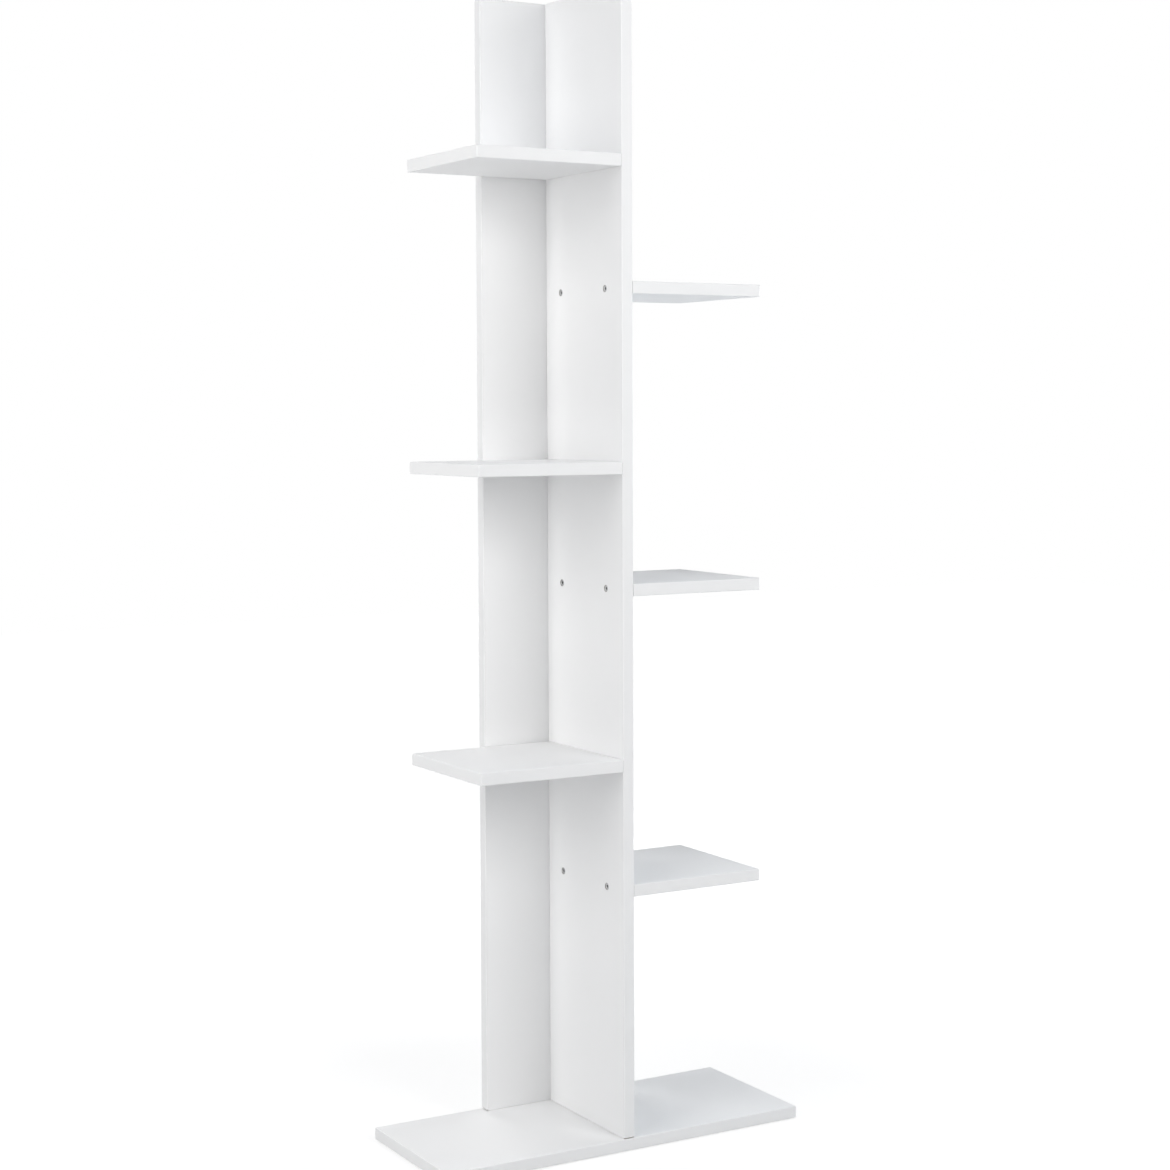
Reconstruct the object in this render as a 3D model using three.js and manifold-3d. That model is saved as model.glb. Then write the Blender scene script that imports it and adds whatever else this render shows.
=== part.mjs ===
import * as THREE from 'three';
import { mergeVertices } from 'three/addons/utils/BufferGeometryUtils.js';
import Module from 'manifold-3d';

// Tree shaped bookshelf of white melamine faced board.
// A T shaped trunk, made of a divider and a back board, stands on a flat base board.
// Three shelves reach out on each side of the trunk, at staggered heights, like branches.
// Units are millimetres: +Z is up, +X runs along the base, and the front faces -Y.
// The origin is on the floor, under the middle of the base.

// Boards
const boardThickness = 18;
const baseLength = 600;
const baseDepth = 240;
const backBoardWidth = 240;
const leftShelfLength = 233;
const rightShelfLength = 222;

// Clear heights of the bays, each from the top of one board to the underside of the next
const leftLowestBay = 543;
const leftMiddleBay = 415;
const leftUpperBay = 423;
const leftTopReach = 245;
const rightLowestBay = 358;
const rightMiddleBay = 423;
const rightUpperBay = 419;

// Edge bands, glued round the sawn edges that show
const bandThickness = 2;
const bandArrisShare = 0.75;
const footBandTrim = 1.5;

// Hairline that stays between two boards when they are screwed together
const jointGap = 0.25;

// Confirmat screws, with a countersunk head and a hexagon socket
const screwLength = 50;
const screwHeadDiameter = 10;
const screwHeadRim = 0.8;
const screwNeckDiameter = 7;
const screwNeckLength = 12;
const screwShoulder = 1;
const screwShankDiameter = 5.4;
const screwTipDiameter = 2.4;
const screwTipLength = 5;
const socketWidth = 4;
const socketDepth = 2.6;
const headSink = 0.5;
const boreClearance = 0.3;
const boreEndRoom = 2;

// Places of the screws on the boards
const frontScrewInset = 48;
const rearScrewInset = 44;
const spineScrewInset = 120;
const spineScrewCount = 5;

// Glides, nailed under the corners of the base
const glideDiameter = 20;
const glideHeight = 2;
const glideEdgeRadius = 1.2;
const glidePinDiameter = 4;
const glidePinLength = 10;
const glidePinTip = 2;
const glidePinTipDiameter = 1.6;
const glideInset = 30;

// Fineness of round forms, and the run of a cutter past the face it enters
const roundSides = 14;
const arrisSteps = 3;
const cornerSteps = 3;
const glideEdgeSteps = 3;
const cutRun = 5;

// Surfaces that other pieces are set on
const baseTop = glideHeight + boardThickness;
const trunkFoot = baseTop + jointGap;
const leftBays = [leftLowestBay, leftMiddleBay, leftUpperBay];
const rightBays = [rightLowestBay, rightMiddleBay, rightUpperBay];
const trunkTop = baseTop + stackHeight(leftBays) + leftTopReach;
const trunkHeight = trunkTop - trunkFoot;
const frontFace = -baseDepth / 2;
const backFace = baseDepth / 2;
const wallFace = backFace - boardThickness;
const branchDepth = wallFace - jointGap - frontFace;
const dividerFace = boardThickness / 2;
const wingMiddle = (dividerFace + backBoardWidth / 2) / 2;
const bandArris = bandThickness * bandArrisShare;

function stackHeight(bays) {
  return bays.reduce((height, bay) => height + bay + boardThickness, 0);
}

// Solids

const kernel = await Module();
kernel.setup();

function toSolid(geometry) {
  const bare = geometry.clone();
  bare.deleteAttribute('normal');
  bare.deleteAttribute('uv');
  const merged = mergeVertices(bare);
  return new kernel.Manifold(new kernel.Mesh({
    numProp: 3,
    vertProperties: new Float32Array(merged.attributes.position.array),
    triVerts: new Uint32Array(merged.index.array),
  }));
}

function toGeometry(solid) {
  const mesh = solid.getMesh();
  const geometry = new THREE.BufferGeometry();
  geometry.setAttribute('position', new THREE.BufferAttribute(mesh.vertProperties, mesh.numProp));
  geometry.setIndex(new THREE.BufferAttribute(mesh.triVerts, 1));
  return geometry;
}

// A block between two corners, as a cutter or a limit for the boards.
function block(low, high) {
  const size = new THREE.Vector3().subVectors(high, low);
  const geometry = new THREE.BoxGeometry(size.x, size.y, size.z);
  geometry.translate((low.x + high.x) / 2, (low.y + high.y) / 2, (low.z + high.z) / 2);
  return toSolid(geometry);
}

// A round piece turned about Z, from a profile of [radius, height] pairs that starts and ends on the axis.
function turned(profile) {
  const points = profile.map(([radius, height]) => new THREE.Vector2(radius, height));
  const geometry = new THREE.LatheGeometry(points, roundSides);
  geometry.rotateX(Math.PI / 2);
  return geometry;
}

// Boards
// Each board lies flat in its own frame: length along X, width along Y, thickness along Z, from its corner.
// The names of its banded sides are low_x, high_x, low_y and high_y.

// Finished outline of a board with rounded arrises. Sides without a band run on past the sawn edge.
function finishedSlab(length, width, bands) {
  const run = (side) => (bands.includes(side) ? 0 : cutRun);
  const x0 = -run('low_x');
  const y0 = -run('low_y');
  const x1 = length + run('high_x');
  const y1 = width + run('high_y');
  const turn = bandThickness;
  const outline = new THREE.Shape();
  outline.moveTo(x0 + turn, y0);
  outline.lineTo(x1 - turn, y0);
  outline.absarc(x1 - turn, y0 + turn, turn, -Math.PI / 2, 0);
  outline.lineTo(x1, y1 - turn);
  outline.absarc(x1 - turn, y1 - turn, turn, 0, Math.PI / 2);
  outline.lineTo(x0 + turn, y1);
  outline.absarc(x0 + turn, y1 - turn, turn, Math.PI / 2, Math.PI);
  outline.lineTo(x0, y0 + turn);
  outline.absarc(x0 + turn, y0 + turn, turn, Math.PI, 1.5 * Math.PI);
  const geometry = new THREE.ExtrudeGeometry(outline, {
    depth: boardThickness - 2 * bandArris,
    steps: 1,
    curveSegments: cornerSteps,
    bevelEnabled: true,
    bevelThickness: bandArris,
    bevelSize: bandArris,
    bevelOffset: -bandArris,
    bevelSegments: arrisSteps,
  });
  geometry.translate(0, 0, bandArris);
  return toSolid(geometry);
}

// The space inside the bands. On a side without a band it reaches out by the given run.
function insideBands(length, width, bands, run) {
  const inset = (side) => (bands.includes(side) ? bandThickness : -run);
  return block(
    new THREE.Vector3(inset('low_x'), inset('low_y'), -cutRun),
    new THREE.Vector3(length - inset('high_x'), width - inset('high_y'), boardThickness + cutRun),
  );
}

// The space where bands may lie: square to the sawn ends, or short of them by the trim given for a side.
function bandLimit(length, width, bands, trims) {
  const inset = (side) => (bands.includes(side) ? -cutRun : trims[side] ?? 0);
  return block(
    new THREE.Vector3(inset('low_x'), inset('low_y'), -cutRun),
    new THREE.Vector3(length - inset('high_x'), width - inset('high_y'), boardThickness + cutRun),
  );
}

function makeBoard({ length, width, bands, trims = {} }) {
  const slab = finishedSlab(length, width, bands);
  const core = slab.intersect(insideBands(length, width, bands, 0));
  const rim = slab.subtract(insideBands(length, width, bands, 2 * cutRun));
  return { core, band: rim.intersect(bandLimit(length, width, bands, trims)) };
}

// Screws
// The head's face is at the origin and the screw points down -Z.

const headRadius = screwHeadDiameter / 2;
const neckRadius = screwNeckDiameter / 2;
const shankRadius = screwShankDiameter / 2;
const headCone = headRadius - neckRadius;
const throughDepth = boardThickness - headSink + jointGap / 2;

function screwGeometry() {
  const body = toSolid(turned([
    [0, -screwLength],
    [screwTipDiameter / 2, -screwLength],
    [shankRadius, -screwLength + screwTipLength],
    [shankRadius, -screwNeckLength - screwShoulder],
    [neckRadius, -screwNeckLength],
    [neckRadius, -screwHeadRim - headCone],
    [headRadius, -screwHeadRim],
    [headRadius, 0],
    [0, 0],
  ]));
  const socketRadius = socketWidth / Math.sqrt(3);
  const socket = new THREE.CylinderGeometry(socketRadius, socketRadius, socketDepth + cutRun, 6);
  socket.rotateX(Math.PI / 2);
  socket.translate(0, 0, (cutRun - socketDepth) / 2);
  return toGeometry(body.subtract(toSolid(socket)));
}

// The hole for a screw: countersunk and clear through the first board, a pilot in the second.
function boreGeometry() {
  return turned([
    [0, -screwLength - boreEndRoom],
    [shankRadius + boreClearance, -screwLength - boreEndRoom],
    [shankRadius + boreClearance, -throughDepth],
    [neckRadius + boreClearance, -throughDepth],
    [neckRadius + boreClearance, -screwHeadRim - headCone],
    [headRadius + boreClearance, -screwHeadRim],
    [headRadius + boreClearance, cutRun],
    [0, cutRun],
  ]);
}

// Glides
// A glide stands on the floor at its own origin, with its pin up in the base.

const glideRadius = glideDiameter / 2;
const pinRadius = glidePinDiameter / 2;

function glideGeometry() {
  const edge = [];
  for (let step = 0; step <= glideEdgeSteps; step += 1) {
    const angle = (step / glideEdgeSteps) * (Math.PI / 2);
    edge.push([
      glideRadius - glideEdgeRadius * (1 - Math.sin(angle)),
      glideEdgeRadius * (1 - Math.cos(angle)),
    ]);
  }
  return turned([
    [0, 0],
    ...edge,
    [glideRadius, glideHeight],
    [pinRadius, glideHeight],
    [pinRadius, glideHeight + glidePinLength - glidePinTip],
    [glidePinTipDiameter / 2, glideHeight + glidePinLength],
    [0, glideHeight + glidePinLength],
  ]);
}

function glideBoreGeometry() {
  return turned([
    [0, glideHeight - cutRun],
    [pinRadius + boreClearance, glideHeight - cutRun],
    [pinRadius + boreClearance, glideHeight + glidePinLength + boreClearance],
    [0, glideHeight + glidePinLength + boreClearance],
  ]);
}

// Finishes

const melamine = () => new THREE.MeshStandardMaterial({ color: 0xf2f2f0, roughness: 0.42, metalness: 0 });
const edgeBanding = () => new THREE.MeshStandardMaterial({ color: 0xefefed, roughness: 0.36, metalness: 0 });
const dullZinc = () => new THREE.MeshStandardMaterial({ color: 0xb2b3b5, roughness: 0.45, metalness: 1 });
const glidePlastic = () => new THREE.MeshStandardMaterial({ color: 0xd8d8d4, roughness: 0.5, metalness: 0 });

// Places of the boards

const lyingFlat = new THREE.Euler();
const standingAcross = new THREE.Euler(Math.PI / 2, 0, 0);
const standingFrontToBack = new THREE.Euler(Math.PI / 2, 0, Math.PI / 2, 'ZYX');

function shelfBoards(side, bays, length, reach) {
  return ['lower', 'middle', 'upper'].map((level, index) => ({
    name: `${side}_shelf_${level}`,
    length,
    width: branchDepth,
    bands: [side === 'left' ? 'low_x' : 'high_x', 'low_y', 'high_y'],
    at: new THREE.Vector3(reach, frontFace, baseTop + stackHeight(bays.slice(0, index)) + bays[index]),
    turn: lyingFlat,
  }));
}

const shelfStart = dividerFace + jointGap;
const leftShelves = shelfBoards('left', leftBays, leftShelfLength, -shelfStart - leftShelfLength);
const rightShelves = shelfBoards('right', rightBays, rightShelfLength, shelfStart);

const base = {
  name: 'base_board',
  length: baseLength,
  width: baseDepth,
  bands: ['low_x', 'high_x', 'low_y', 'high_y'],
  at: new THREE.Vector3(-baseLength / 2, frontFace, glideHeight),
  turn: lyingFlat,
};

const divider = {
  name: 'trunk_divider',
  length: branchDepth,
  width: trunkHeight,
  bands: ['low_x', 'high_y'],
  trims: { low_y: footBandTrim },
  at: new THREE.Vector3(-dividerFace, frontFace, trunkFoot),
  turn: standingFrontToBack,
};

const backBoard = {
  name: 'trunk_back_board',
  length: backBoardWidth,
  width: trunkHeight,
  bands: ['low_x', 'high_x', 'high_y'],
  trims: { low_y: footBandTrim },
  at: new THREE.Vector3(-backBoardWidth / 2, backFace, trunkFoot),
  turn: standingAcross,
};

// Places of the screws, each with the point that its head sinks from and the way it is driven

const screwRows = { front: frontFace + frontScrewInset, rear: wallFace - jointGap - rearScrewInset };
const toRight = new THREE.Vector3(1, 0, 0);
const toLeft = new THREE.Vector3(-1, 0, 0);
const toFront = new THREE.Vector3(0, -1, 0);
const upward = new THREE.Vector3(0, 0, 1);

// Two screws through the divider into the inner end of a shelf, and one from behind into its back edge.
function shelfScrews(shelf, side) {
  const level = shelf.at.z + boardThickness / 2;
  const outward = side === 'left' ? toLeft : toRight;
  const entry = -outward.x * dividerFace;
  const sideScrews = Object.entries(screwRows).map(([row, y]) => ({
    name: `${shelf.name}_${row}_screw`,
    head: new THREE.Vector3(entry, y, level),
    drive: outward,
  }));
  const backScrew = {
    name: `${shelf.name}_back_screw`,
    head: new THREE.Vector3(outward.x * wingMiddle, backFace, level),
    drive: toFront,
  };
  return [...sideScrews, backScrew];
}

// Screws from behind, through the back board into the divider.
function spineScrews() {
  const lowest = trunkFoot + spineScrewInset;
  const pitch = (trunkHeight - 2 * spineScrewInset) / (spineScrewCount - 1);
  return Array.from({ length: spineScrewCount }, (_, index) => ({
    name: `spine_screw_${index + 1}`,
    head: new THREE.Vector3(0, backFace, lowest + pitch * index),
    drive: toFront,
  }));
}

// Screws from below, through the base into the feet of the divider and the back board.
function footScrews() {
  const wallMiddle = (wallFace + backFace) / 2;
  const heads = {
    divider_front: [0, screwRows.front],
    divider_rear: [0, screwRows.rear],
    back_board_left: [-wingMiddle, wallMiddle],
    back_board_right: [wingMiddle, wallMiddle],
  };
  return Object.entries(heads).map(([place, [x, y]]) => ({
    name: `foot_screw_${place}`,
    head: new THREE.Vector3(x, y, glideHeight),
    drive: upward,
  }));
}

const branchScrews = [
  ...leftShelves.flatMap((shelf) => shelfScrews(shelf, 'left')),
  ...rightShelves.flatMap((shelf) => shelfScrews(shelf, 'right')),
];
const trunkScrews = [...spineScrews(), ...footScrews()];

function placeScrew(object, { head, drive }) {
  object.quaternion.setFromUnitVectors(new THREE.Vector3(0, 0, -1), drive);
  object.position.copy(head).addScaledVector(drive, headSink);
  return object;
}

// Places of the glides

const glides = ['front_left', 'front_right', 'back_left', 'back_right'].map((corner) => {
  const x = (corner.endsWith('left') ? -1 : 1) * (baseLength / 2 - glideInset);
  const y = (corner.startsWith('front') ? -1 : 1) * (baseDepth / 2 - glideInset);
  return { name: `glide_${corner}`, at: new THREE.Vector3(x, y, 0) };
});

// Drilling

const screwBore = boreGeometry();
const glideBore = glideBoreGeometry();
const bores = [...branchScrews, ...trunkScrews].map((screw) => {
  const place = placeScrew(new THREE.Object3D(), screw);
  place.updateMatrix();
  return { cutter: screwBore, matrix: place.matrix };
});
for (const glide of glides) {
  bores.push({ cutter: glideBore, matrix: new THREE.Matrix4().setPosition(glide.at) });
}

function boardMatrix(board) {
  const turn = new THREE.Quaternion().setFromEuler(board.turn);
  return new THREE.Matrix4().compose(board.at, turn, new THREE.Vector3(1, 1, 1));
}

function drilled(solid, board) {
  const toBoard = boardMatrix(board).invert();
  return bores.reduce((left, { cutter, matrix }) => {
    const local = new THREE.Matrix4().multiplyMatrices(toBoard, matrix);
    return left.subtract(toSolid(cutter.clone().applyMatrix4(local)));
  }, solid);
}

// Assembly

function addMesh(group, name, geometry, material) {
  const mesh = new THREE.Mesh(geometry, material);
  mesh.name = name;
  group.add(mesh);
  return mesh;
}

function addBoard(group, board) {
  const place = new THREE.Group();
  place.position.copy(board.at);
  place.rotation.copy(board.turn);
  group.add(place);
  const { core, band } = makeBoard(board);
  addMesh(place, board.name, toGeometry(drilled(core, board)), melamine());
  addMesh(place, `${board.name}_edge_band`, toGeometry(drilled(band, board)), edgeBanding());
}

const screwShape = screwGeometry();
const glideShape = glideGeometry();

function addScrew(group, screw) {
  placeScrew(addMesh(group, screw.name, screwShape.clone(), dullZinc()), screw);
}

const trunk = new THREE.Group();
addBoard(trunk, base);
addBoard(trunk, divider);
addBoard(trunk, backBoard);
for (const screw of trunkScrews) {
  addScrew(trunk, screw);
}
for (const glide of glides) {
  addMesh(trunk, glide.name, glideShape.clone(), glidePlastic()).position.copy(glide.at);
}

const branches = new THREE.Group();
for (const shelf of [...leftShelves, ...rightShelves]) {
  addBoard(branches, shelf);
}
for (const screw of branchScrews) {
  addScrew(branches, screw);
}

const bookshelf = new THREE.Group();
bookshelf.add(trunk, branches);

export default bookshelf;
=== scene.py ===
# %% [markdown]
# # A tree shaped bookshelf in white melamine
#
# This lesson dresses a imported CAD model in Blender. The bookshelf is flat-pack furniture: a base board on
# the floor, a trunk of two upright boards that make a T when seen from above, and three shelves on either
# side of it. Every board is chipboard with a white melamine face, and its sawn edges are closed with a
# thick plastic band.
#
# The boards, bands, screws and glides arrive from CAD at their real size and place, in metres. Nothing in
# this file moves or resizes them. It gives them their surfaces, cuts the small hardware finer than CAD
# needs, and sets up the floor, the lamps and the camera.

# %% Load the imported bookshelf
import math

import bmesh
import bpy
from mathutils import Matrix, Vector


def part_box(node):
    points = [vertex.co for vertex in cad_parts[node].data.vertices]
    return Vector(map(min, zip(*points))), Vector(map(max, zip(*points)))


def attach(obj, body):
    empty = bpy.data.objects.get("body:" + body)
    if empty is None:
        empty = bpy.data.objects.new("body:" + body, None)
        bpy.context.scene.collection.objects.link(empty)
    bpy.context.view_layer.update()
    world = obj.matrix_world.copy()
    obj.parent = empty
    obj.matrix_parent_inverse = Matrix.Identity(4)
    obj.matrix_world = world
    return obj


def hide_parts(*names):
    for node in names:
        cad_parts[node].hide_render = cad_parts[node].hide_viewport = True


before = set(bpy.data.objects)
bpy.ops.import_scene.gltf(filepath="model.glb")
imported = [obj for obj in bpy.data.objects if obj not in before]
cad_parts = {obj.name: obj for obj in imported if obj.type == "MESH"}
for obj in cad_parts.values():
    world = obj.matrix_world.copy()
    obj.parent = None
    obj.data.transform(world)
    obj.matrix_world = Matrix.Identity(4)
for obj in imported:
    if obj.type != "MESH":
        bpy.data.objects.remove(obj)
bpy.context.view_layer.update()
MM = 0.001

# %% [markdown]
# ## Sort the nodes into sub-parts
#
# A piece of furniture has many pieces but few kinds of them. Their names say which kind each one is, so
# four lists are enough to treat every board alike, and every band, screw and glide.

# %% Boards, bands, screws and glides
bands = sorted(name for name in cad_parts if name.endswith("_edge_band"))
screws = sorted(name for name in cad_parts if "_screw" in name)
glides = sorted(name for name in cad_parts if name.startswith("glide_"))
boards = sorted(set(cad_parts) - set(bands) - set(screws) - set(glides))
print(len(boards), "boards,", len(bands), "bands,", len(screws), "screws and", len(glides), "glides")


def thickness_axis(node):
    """0, 1 or 2: the axis along which a board is thinnest, which is the one that its faces look along."""
    low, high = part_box(node)
    size = high - low
    return min(range(3), key=lambda axis: size[axis])


for board in boards:
    print(f"{board:20s} lies flat to axis", "xyz"[thickness_axis(board)])

# %% [markdown]
# ## The camera
#
# The photograph was taken from the front and a little to the left, at about chest height, from more than
# three metres away. The trunk's upright lines hardly lean in it, so the camera was nearly level. A long
# lens and a small upward shift of the picture do the same here. The place and the angles come from
# fitting a camera to the edges of the boards in the photograph, with as much care for how much of each
# shelf's top or underside shows as for the place of the shelf. The two pixel values below are what that
# fit gives for a picture that is 1170 pixels wide and high.

# %% Place the camera
PICTURE_SIDE = 1170
FOCAL_LENGTH_PIXELS = 2228.4
CENTRE_ROW_PIXEL = 545
SENSOR_WIDTH = 36.0
CAMERA_PLACE = Vector((-1.671, -2.869, 1.087))
CAMERA_TURN = math.radians(30.185)
CAMERA_TILT = math.radians(-3.432)
CAMERA_ROLL = math.radians(-0.228)

camera_data = bpy.data.cameras.new("photo_camera")
camera_data.sensor_width = SENSOR_WIDTH
camera_data.lens = FOCAL_LENGTH_PIXELS / PICTURE_SIDE * SENSOR_WIDTH
camera_data.shift_y = (CENTRE_ROW_PIXEL - PICTURE_SIDE / 2) / PICTURE_SIDE
camera = bpy.data.objects.new("photo_camera", camera_data)
bpy.context.scene.collection.objects.link(camera)

level_look = Vector((math.sin(CAMERA_TURN), math.cos(CAMERA_TURN), 0))
look = level_look * math.cos(CAMERA_TILT) + Vector((0, 0, math.sin(CAMERA_TILT)))
right = look.cross(Vector((0, 0, 1))).normalized()
right = Matrix.Rotation(CAMERA_ROLL, 3, -look) @ right
up = right.cross(look)
turn = Matrix((right, up, -look)).transposed()
camera.matrix_world = Matrix.Translation(CAMERA_PLACE) @ turn.to_4x4()
bpy.context.scene.camera = camera
print("lens", round(camera_data.lens, 1), "mm, shift", round(camera_data.shift_y, 3))

# %% [markdown]
# ## Helpers for materials
#
# A procedural material is a small network of nodes. Two helpers keep the cells below short: one starts a
# material with a Principled shader, and one adds a node and fills in its settings and inputs. An input
# may be a number, a colour or the output of another node, which is then linked.

# %% Start a material, add a node
def blank_material(name):
    """A new material with nothing but a Principled shader, its node tree and that shader."""
    material = bpy.data.materials.new(name)
    material.use_nodes = True
    tree = material.node_tree
    tree.nodes.clear()
    shader = tree.nodes.new("ShaderNodeBsdfPrincipled")
    output = tree.nodes.new("ShaderNodeOutputMaterial")
    tree.links.new(shader.outputs["BSDF"], output.inputs["Surface"])
    return material, tree, shader


def add(tree, kind, inputs=None, **settings):
    """Adds a shader node. An input that is another node's output is linked, any other is written in."""
    node = tree.nodes.new("ShaderNode" + kind)
    for name, value in settings.items():
        setattr(node, name, value)
    for name, value in (inputs or {}).items():
        if isinstance(value, bpy.types.NodeSocket):
            tree.links.new(value, node.inputs[name])
        else:
            node.inputs[name].default_value = value
    return node


print("two helpers for nodes are ready")

# %% [markdown]
# ## Noise, mixtures and bumps
#
# Nothing real has one even colour or one even shine. Image textures could show that, but noise from
# nodes needs no files and has no seams, and its size is a real length. Four helpers serve all the
# materials: noise of a given size, its values carried over to a wanted range, a mixture of two values,
# and a bump of a real depth. Blender's noise lies mostly between 0.3 and 0.7, and its Mix node has
# separate sockets for numbers, vectors and colours, so both are written down first.

# %% Noise, mixtures and bumps as helpers
NOISE_LOW = 0.3
NOISE_HIGH = 0.7
NOISE_DETAIL = 2.0
MIX_SOCKETS = {"FLOAT": (2, 3, 0), "VECTOR": (4, 5, 1), "RGBA": (6, 7, 2)}


def grain(tree, place, size, detail=NOISE_DETAIL, stretch=(1, 1, 1)):
    """Noise from 0 to 1 with spots about size metres across, drawn out along each axis by its stretch."""
    scale = [1 / (size * length) for length in stretch]
    scaled = add(tree, "Mapping", {"Vector": place, "Scale": scale})
    noise = add(tree, "TexNoise", {"Vector": scaled.outputs[0], "Scale": 1.0, "Detail": detail})
    return noise.outputs["Fac"]


def spread(tree, value, low, high):
    """Carries a value from the range where noise mostly lies over to the range from low to high."""
    ranges = {"From Min": NOISE_LOW, "From Max": NOISE_HIGH, "To Min": low, "To Max": high}
    return add(tree, "MapRange", {"Value": value, **ranges}).outputs[0]


def mix(tree, share, first, second, kind="RGBA"):
    """The first value where share is 0, the second where it is 1. Kind is RGBA, VECTOR or FLOAT."""
    first_socket, second_socket, result = MIX_SOCKETS[kind]
    inputs = {0: share, first_socket: first, second_socket: second}
    return add(tree, "Mix", inputs, data_type=kind).outputs[result]


def relief(tree, height, depth, under=None):
    """A bump of depth metres, laid over another bump where one is given."""
    inputs = {"Height": height, "Strength": 1.0, "Distance": depth}
    if under is not None:
        inputs["Normal"] = under
    return add(tree, "Bump", inputs).outputs["Normal"]


print("four helpers for values are ready")

# %% [markdown]
# ## The white surroundings
#
# The photograph has a pure white background. Strong lamps on a white backdrop would give that, but they
# would also wash out the white boards. Instead the world shows plain white to the camera, and to
# mirror-like and clear surfaces, while a much dimmer, bluish light of it reaches the boards. The Light
# Path node tells the two kinds of rays apart.

# %% White where the camera looks, soft light everywhere else
AMBIENT_COLOUR = (0.66, 0.78, 1.0, 1.0)
AMBIENT_LEVEL = 0.04
PURE_WHITE = (1.0, 1.0, 1.0, 1.0)


def larger(tree, first, second):
    """The larger of two outputs."""
    return add(tree, "Math", {0: first, 1: second}, operation="MAXIMUM").outputs[0]


def seen_directly(tree):
    """1 for camera, glossy and transmission rays, 0 for the diffuse rays that carry light."""
    path = add(tree, "LightPath")
    shiny = larger(tree, path.outputs["Is Glossy Ray"], path.outputs["Is Transmission Ray"])
    return larger(tree, path.outputs["Is Camera Ray"], shiny)


world = bpy.data.worlds.new("white_studio")
world.use_nodes = True
world_tree = world.node_tree
world_tree.nodes.clear()
ambient = add(world_tree, "Background", {"Color": AMBIENT_COLOUR, "Strength": AMBIENT_LEVEL})
white = add(world_tree, "Background", {"Color": PURE_WHITE, "Strength": 1.0})
world_parts = {0: seen_directly(world_tree), 1: ambient.outputs[0], 2: white.outputs[0]}
world_choice = add(world_tree, "MixShader", world_parts)
add(world_tree, "OutputWorld", {"Surface": world_choice.outputs[0]})
bpy.context.scene.world = world
print("the world looks white and lights the boards with a strength of", AMBIENT_LEVEL)

# %% [markdown]
# ## The floor
#
# The bookshelf stands on a plain white floor. A floor that is simply painted white would come out grey,
# with a line where it ends. So it works as the world does: to the camera it glows a little by itself and
# needs only part of its white from the lamps, so the soft shadow under the base stays. The glow grows
# with the distance until it is as white as the background, and no horizon shows.

# %% A floor that keeps the shadow
FLOOR_SIDE = 16.0
FLOOR_WHITE = (0.8, 0.8, 0.8, 1.0)
FLOOR_SHADOW_SHARE = (0.3, 0.3, 0.3, 1.0)
GLOW_BY_THE_BASE = 0.76
GLOW_FAR_AWAY = 1.0
GLOW_NEAR_RADIUS = 0.5
GLOW_FAR_RADIUS = 2.0

floor_mesh = bpy.data.meshes.new("studio_floor")
half_floor = FLOOR_SIDE / 2
floor_corners = [(-half_floor, -half_floor, 0), (half_floor, -half_floor, 0), (half_floor, half_floor, 0),
                 (-half_floor, half_floor, 0)]
floor_mesh.from_pydata(floor_corners, [], [(0, 1, 2, 3)])
floor = bpy.data.objects.new("studio_floor", floor_mesh)
bpy.context.scene.collection.objects.link(floor)

floor_paint = bpy.data.materials.new("floor_paint")
floor_paint.use_nodes = True
floor_tree = floor_paint.node_tree
floor_tree.nodes.clear()
lit = add(floor_tree, "BsdfDiffuse", {"Color": FLOOR_WHITE})
shadow_catch = add(floor_tree, "BsdfDiffuse", {"Color": FLOOR_SHADOW_SHARE})
floor_place = add(floor_tree, "TexCoord").outputs["Object"]
from_middle = add(floor_tree, "VectorMath", {0: floor_place}, operation="LENGTH")
glow_rise = {"From Min": GLOW_NEAR_RADIUS, "From Max": GLOW_FAR_RADIUS, "To Min": GLOW_BY_THE_BASE,
             "To Max": GLOW_FAR_AWAY}
glow_level = add(floor_tree, "MapRange", {"Value": from_middle.outputs["Value"], **glow_rise})
glow = add(floor_tree, "Emission", {"Strength": glow_level.outputs[0]})
shown = add(floor_tree, "AddShader", {0: shadow_catch.outputs[0], 1: glow.outputs[0]})
floor_parts = {0: seen_directly(floor_tree), 1: lit.outputs[0], 2: shown.outputs[0]}
floor_choice = add(floor_tree, "MixShader", floor_parts)
add(floor_tree, "OutputMaterial", {"Surface": floor_choice.outputs[0]})
floor_mesh.materials.append(floor_paint)
print("floor", FLOOR_SIDE, "m square")

# %% [markdown]
# ## The lamps
#
# In the photograph the front edges of the boards are the brightest surfaces at the top of the picture and
# grow greyer towards the floor. The faces that look to the left are nearly as bright, and the tops of the
# shelves are greyer than both. So the main light is a soft one in front, a little to the right and as
# high as the trunk, and a second one, twice as wide, stands to the left. A low weak one on the right
# keeps that side and the undersides from going dark. Two more serve the sides that the photograph hides:
# one overhead, which gives the top of the trunk and of the upper shelves their white, and one straight
# behind. Off to the right, that lamp would glare in the tops of the right shelves, which the camera sees
# at a flat angle. The strengths were chosen by rendering each lamp alone and comparing the sum of the
# pictures with the greys in the photograph.

# %% Softboxes
AIM_HEIGHT = 1.0


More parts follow.
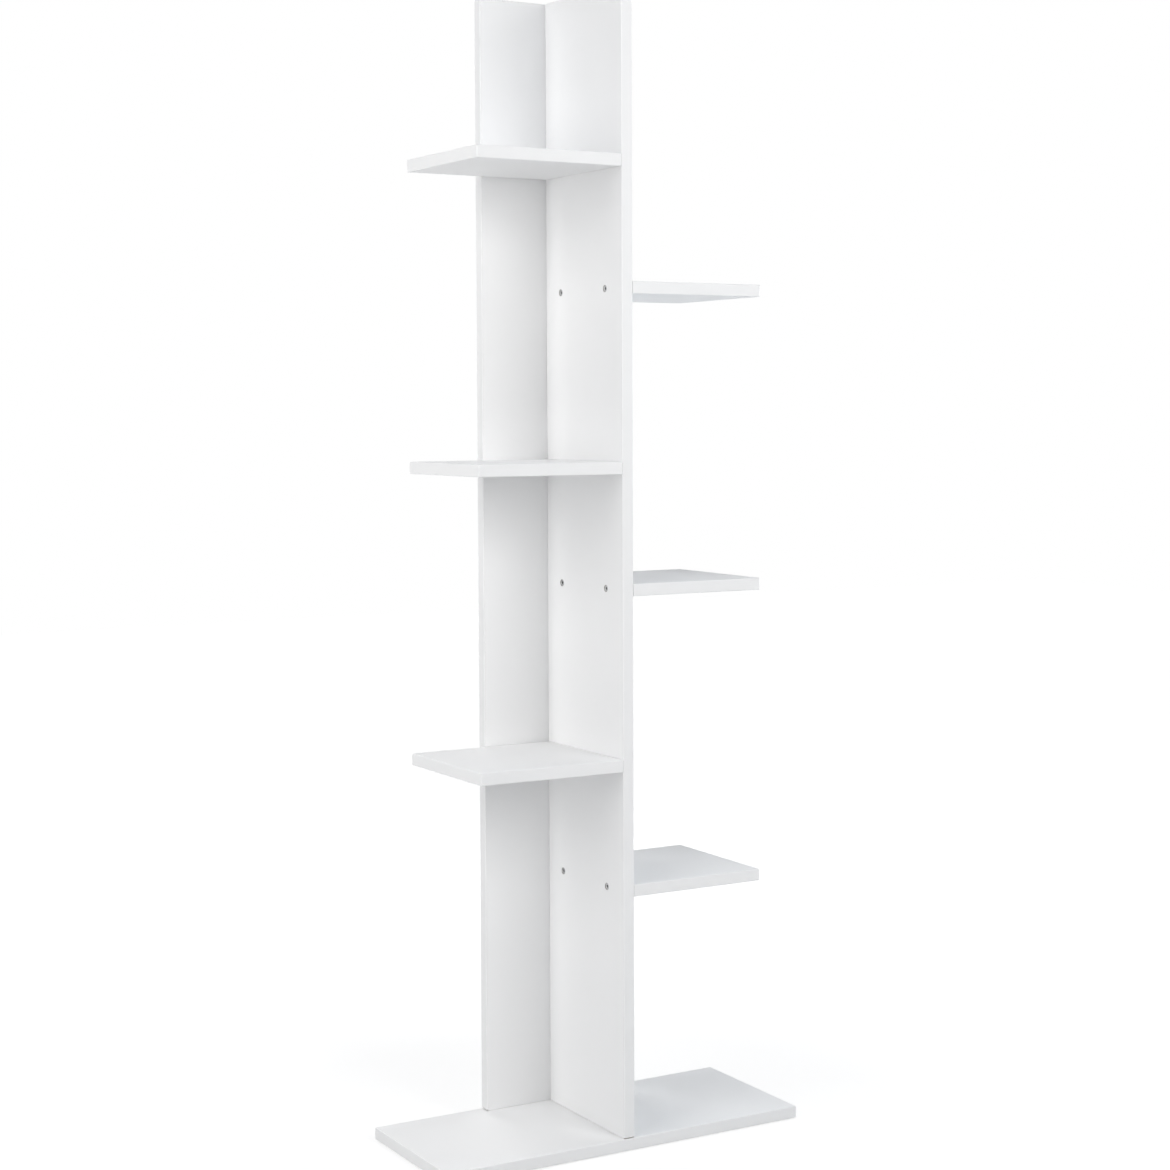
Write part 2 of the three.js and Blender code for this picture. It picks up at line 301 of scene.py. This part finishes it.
def softbox(name, azimuth, distance, height, side, watts, colour=(1, 1, 1)):
    """A square area lamp. Azimuth is in degrees: 0 is in front of the bookshelf, 90 to its right."""
    lamp_data = bpy.data.lights.new(name, "AREA")
    lamp_data.size = side
    lamp_data.energy = watts
    lamp_data.color = colour
    lamp = bpy.data.objects.new(name, lamp_data)
    angle = math.radians(azimuth)
    lamp.location = (math.sin(angle) * distance, -math.cos(angle) * distance, height)
    aim = Vector((0, 0, AIM_HEIGHT)) - lamp.location
    lamp.rotation_mode = "QUATERNION"
    lamp.rotation_quaternion = aim.to_track_quat("-Z", "Y")
    bpy.context.scene.collection.objects.link(lamp)
    print(f"{name:14s} {watts} W at {[round(v, 2) for v in lamp.location]}")


WARM_WHITE = (1.0, 0.995, 0.985)
COOL_WHITE = (0.86, 0.93, 1.0)
SKY_WHITE = (0.9, 0.94, 1.0)
softbox("key_softbox", azimuth=14, distance=2.4, height=1.75, side=1.4, watts=37, colour=WARM_WHITE)
softbox("left_softbox", azimuth=-80, distance=2.6, height=1.75, side=2.7, watts=59, colour=WARM_WHITE)
softbox("right_softbox", azimuth=90, distance=2.4, height=0.8, side=1.3, watts=26, colour=COOL_WHITE)
softbox("top_softbox", azimuth=-20, distance=0.5, height=3.6, side=2.0, watts=19, colour=SKY_WHITE)
softbox("back_softbox", azimuth=180, distance=2.6, height=1.2, side=1.4, watts=33, colour=WARM_WHITE)

# %% [markdown]
# ## White melamine on chipboard
#
# The boards are sawn from chipboard that is sold with a melamine skin on both faces: paper soaked in
# resin and pressed hot against a steel plate. The plate leaves a pearl texture, shallow and finer than a
# millimetre, that breaks up reflections. Through the thin skin the chips below show as a very faint
# waviness. Where a board is sawn or drilled, the brown chips are bare. One network does both: the surface
# normal says whether a spot belongs to a melamine face or to a cut.

# %% The melamine board
MELAMINE_WHITE = (0.885, 0.886, 0.888, 1.0)
MELAMINE_SHADE = (0.868, 0.869, 0.872, 1.0)
CHIP_LIGHT = (0.42, 0.365, 0.3, 1.0)
CHIP_DARK = (0.2, 0.17, 0.14, 1.0)
PEARL_SIZE = 0.7 * MM
PEARL_DEPTH = 0.02 * MM
WAVE_SIZE = 16 * MM
WAVE_DEPTH = 0.012 * MM
TONE_SIZE = 240 * MM
SHEEN_SIZE = 60 * MM
CHIP_SIZE = 2.2 * MM
CHIP_DEPTH = 0.25 * MM
MELAMINE_ROUGHNESS = (0.54, 0.62)
MELAMINE_SPECULAR = 0.22
CHIP_ROUGHNESS = 0.9
FACE_NORMAL_LEAST = 0.8


def melamine_board(name, axis):
    """Melamine on the faces that look along the axis, bare chipboard on every cut through them."""
    material, tree, shader = blank_material(name)
    coordinates = add(tree, "TexCoord")
    place = coordinates.outputs["Object"]
    normal_parts = add(tree, "SeparateXYZ", {0: coordinates.outputs["Normal"]})
    along = add(tree, "Math", {0: normal_parts.outputs[axis]}, operation="ABSOLUTE")
    cut = add(tree, "Math", {0: along.outputs[0], 1: FACE_NORMAL_LEAST}, operation="LESS_THAN").outputs[0]

    chips = add(tree, "TexVoronoi", {"Vector": place, "Scale": 1 / CHIP_SIZE})
    chip_parts = add(tree, "SeparateColor", {0: chips.outputs["Color"]})
    chip_colour = mix(tree, chip_parts.outputs[0], CHIP_DARK, CHIP_LIGHT)
    tone = spread(tree, grain(tree, place, TONE_SIZE), 0.0, 1.0)
    white_colour = mix(tree, tone, MELAMINE_WHITE, MELAMINE_SHADE)
    tree.links.new(mix(tree, cut, white_colour, chip_colour), shader.inputs["Base Color"])

    satin = spread(tree, grain(tree, place, SHEEN_SIZE), *MELAMINE_ROUGHNESS)
    roughness = mix(tree, cut, satin, CHIP_ROUGHNESS, kind="FLOAT")
    tree.links.new(roughness, shader.inputs["Roughness"])

    pearl = relief(tree, grain(tree, place, PEARL_SIZE), PEARL_DEPTH)
    waves = relief(tree, grain(tree, place, WAVE_SIZE), WAVE_DEPTH, under=pearl)
    rough_chips = relief(tree, chips.outputs["Distance"], CHIP_DEPTH)
    tree.links.new(mix(tree, cut, waves, rough_chips, kind="VECTOR"), shader.inputs["Normal"])
    shader.inputs["Specular IOR Level"].default_value = MELAMINE_SPECULAR
    return material


melamine_by_axis = [melamine_board("melamine_facing_" + letter, axis) for axis, letter in enumerate("xyz")]
print("made", [material.name for material in melamine_by_axis])

# %% [markdown]
# ## The edge band
#
# The band is a 2 mm strip of dyed plastic, glued round each board and milled flush, with its two long
# corners rounded over. It is the same white as the melamine but a touch smoother, and the milling and
# scraping leave hair-fine lines along its length. The noise is drawn out along the band and kept narrow
# across the board's thickness, so the lines follow the band round every corner.

# %% The band's plastic
BAND_WHITE = (0.89, 0.891, 0.893, 1.0)
BAND_SHADE = (0.875, 0.876, 0.879, 1.0)
BAND_LINE_WIDTH = 0.25 * MM
BAND_LINE_LENGTH = 200
BAND_LINE_DETAIL = 3.0
BAND_LINE_DEPTH = 0.006 * MM
BAND_TONE_SIZE = 150 * MM
BAND_ROUGHNESS = (0.45, 0.53)


def edge_band_plastic(name, axis):
    """White plastic with fine lines that run round a board whose faces look along the axis."""
    material, tree, shader = blank_material(name)
    place = add(tree, "TexCoord").outputs["Object"]
    tone = spread(tree, grain(tree, place, BAND_TONE_SIZE), 0.0, 1.0)
    tree.links.new(mix(tree, tone, BAND_WHITE, BAND_SHADE), shader.inputs["Base Color"])
    stretch = [1 if direction == axis else BAND_LINE_LENGTH for direction in range(3)]
    lines = grain(tree, place, BAND_LINE_WIDTH, detail=BAND_LINE_DETAIL, stretch=stretch)
    tree.links.new(spread(tree, lines, *BAND_ROUGHNESS), shader.inputs["Roughness"])
    pearl = relief(tree, grain(tree, place, PEARL_SIZE), PEARL_DEPTH)
    tree.links.new(relief(tree, lines, BAND_LINE_DEPTH, under=pearl), shader.inputs["Normal"])
    shader.inputs["Specular IOR Level"].default_value = MELAMINE_SPECULAR
    return material


band_by_axis = [edge_band_plastic("edge_band_round_" + letter, axis) for axis, letter in enumerate("xyz")]
print("made", [material.name for material in band_by_axis])

# %% [markdown]
# ## Surfaces for the boards and bands
#
# A CAD mesh arrives as loose triangles with perfectly sharp corners, and no real edge is that sharp.
# Modifiers mend this without touching the mesh itself: Weld joins the triangles, Decimate turns them into
# whole flat faces, and Bevel breaks each corner by a hair, which lets it catch the light and draws the
# fine joint between a board and its band. A small node group then shades the rounded stretches smooth,
# and Weighted Normal keeps the flat faces flat.

# %% Smooth round stretches, sharp corners
CORNER_ANGLE = math.radians(38)


def smooth_shading_group():
    """A geometry node group that shades everything smooth except edges sharper than CORNER_ANGLE."""
    group = bpy.data.node_groups.new("smooth_round_stretches", "GeometryNodeTree")
    group.interface.new_socket("Geometry", in_out="INPUT", socket_type="NodeSocketGeometry")
    group.interface.new_socket("Geometry", in_out="OUTPUT", socket_type="NodeSocketGeometry")
    start = group.nodes.new("NodeGroupInput")
    end = group.nodes.new("NodeGroupOutput")
    drop_normals = group.nodes.new("GeometryNodeRemoveAttribute")
    drop_normals.inputs["Name"].default_value = "custom_normal"
    all_smooth = group.nodes.new("GeometryNodeSetShadeSmooth")
    all_smooth.domain = "FACE"
    all_smooth.inputs["Shade Smooth"].default_value = True
    angle = group.nodes.new("GeometryNodeInputMeshEdgeAngle")
    is_corner = group.nodes.new("FunctionNodeCompare")
    is_corner.operation = "GREATER_THAN"
    is_corner.inputs["B"].default_value = CORNER_ANGLE
    sharp_corners = group.nodes.new("GeometryNodeSetShadeSmooth")
    sharp_corners.domain = "EDGE"
    sharp_corners.inputs["Shade Smooth"].default_value = False
    group.links.new(start.outputs[0], drop_normals.inputs["Geometry"])
    group.links.new(drop_normals.outputs["Geometry"], all_smooth.inputs["Geometry"])
    group.links.new(all_smooth.outputs["Geometry"], sharp_corners.inputs["Geometry"])
    group.links.new(angle.outputs["Unsigned Angle"], is_corner.inputs["A"])
    group.links.new(is_corner.outputs["Result"], sharp_corners.inputs["Selection"])
    group.links.new(sharp_corners.outputs["Geometry"], end.inputs[0])
    return group


shading_group = smooth_shading_group()
print("made the node group", shading_group.name)

# %% Weld, flatten, break the edges, shade
WELD_DISTANCE = 0.005 * MM
FLAT_ANGLE = math.radians(0.5)
BROKEN_EDGE = 0.12 * MM
BROKEN_EDGE_STEPS = 2


def break_edges(thing):
    """The modifiers that turn a CAD mesh into a surface with soft hair-fine edges."""
    weld = thing.modifiers.new("weld", "WELD")
    weld.merge_threshold = WELD_DISTANCE
    flatten = thing.modifiers.new("flatten", "DECIMATE")
    flatten.decimate_type = "DISSOLVE"
    flatten.angle_limit = FLAT_ANGLE
    bevel = thing.modifiers.new("broken_edges", "BEVEL")
    bevel.width = BROKEN_EDGE
    bevel.segments = BROKEN_EDGE_STEPS
    bevel.limit_method = "ANGLE"
    bevel.angle_limit = CORNER_ANGLE
    shading = thing.modifiers.new("shading", "NODES")
    shading.node_group = shading_group
    weighted = thing.modifiers.new("flat_faces", "WEIGHTED_NORMAL")
    weighted.keep_sharp = True


def put_on(thing, material):
    """Gives a CAD node's object one material in place of the plain one it came with."""
    thing.material_slots[0].link = "OBJECT"
    thing.material_slots[0].material = material


for board in boards:
    put_on(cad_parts[board], melamine_by_axis[thickness_axis(board)])
    put_on(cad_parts[board + "_edge_band"], band_by_axis[thickness_axis(board)])
    break_edges(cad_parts[board])
    break_edges(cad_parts[board + "_edge_band"])
print("finished", len(boards), "boards and", len(bands), "bands")

# %% [markdown]
# ## A finely cut screw
#
# Furniture boards are joined with confirmat screws: a flat countersunk head, a plain neck that fills the
# outer board's hole, and a coarse thread that bites into the chips of the other board. CAD turns them
# from a simple profile with 14 sides, a hexagon socket and a plain shank, so here they are made again,
# finer. Each new screw has to stand where the plain one stood, and the plain one's mesh tells where that
# is: its box gives the axis and the length, and its wider end is the head.

# %% Where each screw stands
def screw_place(node):
    """The middle of a screw's head, the direction it was driven in and its length, from the CAD mesh."""
    low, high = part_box(node)
    size = high - low
    axis = max(range(3), key=lambda direction: size[direction])
    points = [vertex.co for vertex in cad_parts[node].data.vertices]
    middle = (low + high) / 2
    reach = {low[axis]: 0.0, high[axis]: 0.0}
    for point in points:
        for end in reach:
            if abs(point[axis] - end) < WELD_DISTANCE:
                reach[end] = max(reach[end], (point - middle).length)
    head_end = max(reach, key=reach.get)
    head = middle.copy()
    head[axis] = head_end
    return head, (middle - head).normalized(), size[axis]


for node in screws[:3]:
    head, driven, length = screw_place(node)
    print(node, "head at", [round(v / MM, 1) for v in head], "driven along", [round(v) for v in driven])
    print(node, "is", round(length / MM, 1), "mm long")

# %% [markdown]
# ## The screw as a grid of rings
#
# A real confirmat screw is turned from wire, its socket is pressed in and its thread is rolled on. The
# mesh could be built like that too, from a round blank with a thread swept round it, but the thread's
# ends would have to be sewn to the neck and the tip. Instead the whole screw is one grid of rings: a ring
# is round, a hexagon or a step of the thread, and the grid stays closed from the bottom of the socket to
# the tip. The head gets a rounder rim, the socket's mouth a chamfer and the shank a blunt point.

# %% The screw's measures
HEAD_RADIUS = 5.0 * MM
HEAD_RIM = 0.8 * MM
HEAD_CORNER = 0.15 * MM
SOCKET_ACROSS = 4.0 * MM
SOCKET_CHAMFER = 0.3 * MM
SOCKET_DEPTH = 2.6 * MM
SOCKET_CONE = 0.8 * MM
CONE_MIDWAY_RADIUS = 0.4
CONE_MIDWAY_DEPTH = 0.6
NECK_RADIUS = 3.5 * MM
NECK_END = 12.0 * MM
SHOULDER = 1.0 * MM
CORE_RADIUS = 2.4 * MM
THREAD_HEIGHT = 0.95 * MM
THREAD_PITCH = 3.0 * MM
THREAD_RUN_OUT = 4.0 * MM
TIP_LENGTH = 5.0 * MM
TIP_RADIUS = 1.2 * MM
SCREW_SIDES = 36
RINGS_PER_TURN = 10
RIDGE_SHARE = 0.3
print("a head is", HEAD_RADIUS * 2 / MM, "mm across and its socket", SOCKET_ACROSS / MM, "mm")


# %% The hexagon and the thread
def hexagon_radius(angle):
    """Distance from the middle of the socket to its wall, in the direction of the angle."""
    sixth = math.pi / 3
    return SOCKET_ACROSS / 2 / math.cos((angle % sixth) - sixth / 2)


def thread_radius(angle, depth, start, end):
    """The thread's surface: a ridge that climbs one pitch per turn and fades out at both ends."""
    turn_share = (depth / THREAD_PITCH - angle / (2 * math.pi)) % 1.0
    ridge = max(0.0, 1.0 - abs(turn_share - 0.5) / (RIDGE_SHARE / 2))
    fade = min(1.0, max(0.0, (depth - start) / THREAD_RUN_OUT), max(0.0, (end - depth) / THREAD_RUN_OUT))
    return CORE_RADIUS + THREAD_HEIGHT * ridge * fade


corner_radius = hexagon_radius(0.0)
print("the socket is", round(corner_radius * 2 / MM, 2), "mm from corner to corner")


# %% Rings from the socket to the tip
def screw_rings(length):
    """The screw as rings of points from the bottom of the socket, over the head and down to the tip."""
    steps = [2 * math.pi * side / SCREW_SIDES for side in range(SCREW_SIDES)]
    hexagon = [hexagon_radius(angle) for angle in steps]
    mouth = max(hexagon) + SOCKET_CHAMFER
    cone_middle = SOCKET_DEPTH + SOCKET_CONE * CONE_MIDWAY_DEPTH

    def ring(radii, depth):
        return [(radius * math.cos(angle), radius * math.sin(angle), depth)
                for radius, angle in zip(radii, steps)]

    def circle(radius, depth):
        return ring([radius] * SCREW_SIDES, depth)

    rings = [ring([radius * CONE_MIDWAY_RADIUS for radius in hexagon], cone_middle)]
    rings.append(ring(hexagon, SOCKET_DEPTH))
    rings.append(ring(hexagon, SOCKET_CHAMFER))
    rings.append(circle(mouth, 0.0))
    rings.append(circle(HEAD_RADIUS - HEAD_CORNER, 0.0))
    rings.append(circle(HEAD_RADIUS, HEAD_CORNER))
    rings.append(circle(HEAD_RADIUS, HEAD_RIM))
    rings.append(circle(NECK_RADIUS, HEAD_RIM + HEAD_RADIUS - NECK_RADIUS))
    rings.append(circle(NECK_RADIUS, NECK_END))
    start = NECK_END + SHOULDER
    end = length - TIP_LENGTH
    count = round((end - start) / THREAD_PITCH * RINGS_PER_TURN)
    for number in range(count + 1):
        depth = start + (end - start) * number / count
        rings.append(ring([thread_radius(angle, depth, start, end) for angle in steps], depth))
    rings.append(circle(TIP_RADIUS, length - TIP_RADIUS / 2))
    rings.append(circle(TIP_RADIUS / 2, length))
    return rings


screw_length = screw_place(screws[0])[2]
rings_of_screw = screw_rings(screw_length)
print("a screw is", len(rings_of_screw), "rings of", SCREW_SIDES, "points")


# %% Close the rings into one skin
def closed_mesh(name, rings, first_middle, last_middle):
    """Joins rings into one closed skin, with a point in the middle at either end."""
    shape = bmesh.new()
    rows = [[shape.verts.new(point) for point in ring] for ring in rings]
    sides = len(rows[0])
    for row, below in zip(rows, rows[1:]):
        for side in range(sides):
            beside = (side + 1) % sides
            shape.faces.new((row[side], row[beside], below[beside], below[side]))
    for row, point in ((rows[0], first_middle), (rows[-1], last_middle)):
        middle = shape.verts.new(point)
        for side in range(sides):
            shape.faces.new((row[side], row[(side + 1) % sides], middle))
    bmesh.ops.recalc_face_normals(shape, faces=shape.faces)
    for face in shape.faces:
        face.smooth = True
    for edge in shape.edges:
        edge.smooth = edge.calc_face_angle(0.0) < CORNER_ANGLE
    mesh = bpy.data.meshes.new(name)
    shape.to_mesh(mesh)
    shape.free()
    return mesh


socket_bottom = (0, 0, SOCKET_DEPTH + SOCKET_CONE)
screw_tip = (0, 0, screw_length)
screw_mesh = closed_mesh("confirmat_screw", rings_of_screw, socket_bottom, screw_tip)
print("one screw has", len(screw_mesh.polygons), "faces and is", round(screw_length / MM, 1), "mm long")

# %% [markdown]
# ## Zinc-plated steel
#
# In the photograph the heads read as middle grey spots with a darker heart, on the white board. That is
# what cheap zinc plating looks like: a thin cloudy grey coat with a dull shine, and a hexagon socket that
# hardly any light gets into. Turning the blank leaves fine rings on the head, and the key has rubbed the
# mouth of the socket slightly brighter. Each screw's own coordinates start at the middle of its head, so
# the distance from its axis gives both the rings and the rubbed zone. The depth in the socket darkens the
# coat as painted shade, for the light that doesn't reach the socket's bottom.

# %% The screw's steel
ZINC_DARK = (0.38, 0.382, 0.388, 1.0)
ZINC_LIGHT = (0.56, 0.562, 0.568, 1.0)
ZINC_RUBBED = (0.66, 0.66, 0.66, 1.0)
# Painted shade: the near black that the socket's coat is darkened to at its bottom.
SOCKET_PAINTED_SHADE = (0.12, 0.118, 0.115, 1.0)
SPANGLE_SIZE = 1.2 * MM
SPANGLE_DETAIL = 4.0
ACROSS_THE_AXIS = (1, 1, 0)
TURNED_RING = 0.3 * MM
TURNED_DEPTH = 0.004 * MM
RUBBED_RADIUS = 2.7 * MM
RUBBED_FADE = 0.5 * MM
RUBBED_MOST = 0.6
ZINC_ROUGHNESS = (0.36, 0.5)


def zinc_plated_steel(name):
    """Cloudy grey zinc with turned rings on the head, a rubbed socket mouth and painted shade in the
    socket.
    """
    material, tree, shader = blank_material(name)
    place = add(tree, "TexCoord").outputs["Object"]
    flat = add(tree, "VectorMath", {0: place, 1: ACROSS_THE_AXIS}, operation="MULTIPLY")
    radius = add(tree, "VectorMath", {0: flat.outputs[0]}, operation="LENGTH").outputs["Value"]
    cloud = spread(tree, grain(tree, place, SPANGLE_SIZE, detail=SPANGLE_DETAIL), 0.0, 1.0)
    from_mouth = add(tree, "Math", {0: radius, 1: RUBBED_RADIUS}, operation="SUBTRACT")
    distance = add(tree, "Math", {0: from_mouth.outputs[0]}, operation="ABSOLUTE")
    fade = {"From Min": 0.0, "From Max": RUBBED_FADE, "To Min": RUBBED_MOST, "To Max": 0.0}
    rubbed = add(tree, "MapRange", {"Value": distance.outputs[0], **fade})
    coat = mix(tree, cloud, ZINC_DARK, ZINC_LIGHT)
    coat = mix(tree, rubbed.outputs[0], coat, ZINC_RUBBED)
    # Painted shade: the coat is darkened with depth inside the socket, down to a near black at its bottom.
    depth = add(tree, "SeparateXYZ", {0: place}).outputs["Z"]
    sunk = add(tree, "MapRange", {"Value": depth, "From Min": 0.0, "From Max": SOCKET_DEPTH})
    in_socket = add(tree, "Math", {0: radius, 1: RUBBED_RADIUS}, operation="LESS_THAN")
    painted_shade_share = add(tree, "Math", {0: sunk.outputs[0], 1: in_socket.outputs[0]}, operation="MULTIPLY")
    tree.links.new(mix(tree, painted_shade_share.outputs[0], coat, SOCKET_PAINTED_SHADE), shader.inputs["Base Color"])
    tree.links.new(spread(tree, cloud, *ZINC_ROUGHNESS), shader.inputs["Roughness"])
    phase = add(tree, "Math", {0: radius, 1: 2 * math.pi / TURNED_RING}, operation="MULTIPLY")
    rings = add(tree, "Math", {0: phase.outputs[0]}, operation="SINE")
    tree.links.new(relief(tree, rings.outputs[0], TURNED_DEPTH), shader.inputs["Normal"])
    shader.inputs["Metallic"].default_value = 1.0
    return material


screw_mesh.materials.append(zinc_plated_steel("zinc_plated_steel"))
print("made", screw_mesh.materials[0].name)

# %% [markdown]
# ## The screws in their holes
#
# The screws of a bookshelf all come from one bag, so one mesh serves for all 27. Each copy is turned to
# the direction that its screw was driven in and set down with the middle of its head in the board's
# face. It takes the place of the CAD node and rides on the same body.

# %% Drive every screw
for node in screws:
    head, driven = screw_place(node)[:2]
    screw = bpy.data.objects.new("fine_" + node, screw_mesh)
    screw.rotation_mode = "QUATERNION"
    screw.rotation_quaternion = driven.to_track_quat("Z", "Y")
    screw.location = head
    bpy.context.scene.collection.objects.link(screw)
    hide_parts(node)
    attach(screw, "root")
print("drove", len(screws), "screws")

# %% [markdown]
# ## The glides
#
# Four plastic glides under the base keep it off the floor, so that the board doesn't soak up water from
# mopping and slides without scratching. Each is one moulding: a disc with a soft rim and a pin with barbs
# that is pushed into a drilled hole. It is a turned shape, so one outline of radius and height is enough.
# Spun into rings, it is closed by the same helper as the screw.

# %% The glide's mesh
GLIDE_SIDES = 48
RIM_STEPS = 5
RIM_SHARE = 0.6
DIMPLE_RADIUS = 2.0 * MM
DIMPLE_DEPTH = 0.4 * MM
PIN_SHARE = 0.2
PIN_END_SHARE = 0.6
PLAIN_PIN_SHARE = 0.35
BARB_COUNT = 3
BARB_HEIGHT = 0.25 * MM
DISC_HEIGHT = 2.0 * MM


def glide_outline(radius, height):
    """Radius and height pairs from the dimple under the disc, round its rim and up the barbed pin."""
    pin = radius * PIN_SHARE
    rim = DISC_HEIGHT * RIM_SHARE
    outline = [(DIMPLE_RADIUS / 2, DIMPLE_DEPTH), (DIMPLE_RADIUS, 0.0)]
    for step in range(RIM_STEPS + 1):
        angle = math.pi / 2 * step / RIM_STEPS
        outline.append((radius - rim + rim * math.sin(angle), rim - rim * math.cos(angle)))
    free = height - DISC_HEIGHT
    foot = DISC_HEIGHT + free * PLAIN_PIN_SHARE
    barb = free * (1 - PLAIN_PIN_SHARE) / (BARB_COUNT + 1)
    outline += [(radius, DISC_HEIGHT), (pin, DISC_HEIGHT), (pin - BARB_HEIGHT, foot)]
    for number in range(BARB_COUNT):
        outline += [(pin, foot + barb * number), (pin - BARB_HEIGHT, foot + barb * (number + 1))]
    outline.append((pin * PIN_END_SHARE, height))
    return outline


def turned_rings(outline, sides):
    """Spins radius and height pairs round the axis."""
    steps = [2 * math.pi * side / sides for side in range(sides)]
    return [[(radius * math.cos(angle), radius * math.sin(angle), height) for angle in steps]
            for radius, height in outline]


glide_low, glide_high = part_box(glides[0])
glide_radius = (glide_high.x - glide_low.x) / 2
glide_height = glide_high.z - glide_low.z
glide_rings = turned_rings(glide_outline(glide_radius, glide_height), GLIDE_SIDES)
glide_mesh = closed_mesh("push_in_glide", glide_rings, (0, 0, DIMPLE_DEPTH), (0, 0, glide_height))
print("one glide is", round(glide_radius * 2 / MM, 1), "mm across and", round(glide_height / MM, 1), "high")

# %% [markdown]
# ## The glides' plastic
#
# Glides are moulded from undyed plastic, which is milky and a little waxy. Only their rims show, and dimly,
# so the finish stays simple: a slow noise clouds the colour and a fine one gives the grain of the mould.

# %% Glide plastic
GLIDE_MILKY = (0.74, 0.74, 0.72, 1.0)
GLIDE_GREY = (0.66, 0.66, 0.64, 1.0)
GLIDE_CLOUD_SIZE = 6 * MM
GLIDE_GRAIN_SIZE = 0.4 * MM
GLIDE_GRAIN_DEPTH = 0.015 * MM
GLIDE_ROUGHNESS = (0.45, 0.6)

glide_plastic, glide_tree, glide_shader = blank_material("milky_glide_plastic")
glide_place = add(glide_tree, "TexCoord").outputs["Object"]
cloud = spread(glide_tree, grain(glide_tree, glide_place, GLIDE_CLOUD_SIZE), 0.0, 1.0)
glide_colour = mix(glide_tree, cloud, GLIDE_MILKY, GLIDE_GREY)
glide_tree.links.new(glide_colour, glide_shader.inputs["Base Color"])
glide_grain = grain(glide_tree, glide_place, GLIDE_GRAIN_SIZE)
glide_tree.links.new(spread(glide_tree, glide_grain, *GLIDE_ROUGHNESS), glide_shader.inputs["Roughness"])
glide_tree.links.new(relief(glide_tree, glide_grain, GLIDE_GRAIN_DEPTH), glide_shader.inputs["Normal"])
glide_mesh.materials.append(glide_plastic)
print("made", glide_plastic.name)

# %% [markdown]
# ## The glides under the base
#
# A glide is pushed in from below, with its disc against the board. Its CAD node's box gives the place:
# the pin's axis is the middle of the box, and the disc's underside, on the floor, is the box's lowest
# face.

# %% Push in the four glides
for node in glides:
    low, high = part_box(node)
    glide = bpy.data.objects.new("fine_" + node, glide_mesh)
    glide.location = ((low.x + high.x) / 2, (low.y + high.y) / 2, low.z)
    bpy.context.scene.collection.objects.link(glide)
    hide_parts(node)
    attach(glide, "root")
print("pushed in", len(glides), "glides")

# %% [markdown]
# ## Colours as they are
#
# The Standard view transform shows a colour as it was written, which suits a white product on white.

# %% View transform
bpy.context.scene.view_settings.view_transform = "Standard"
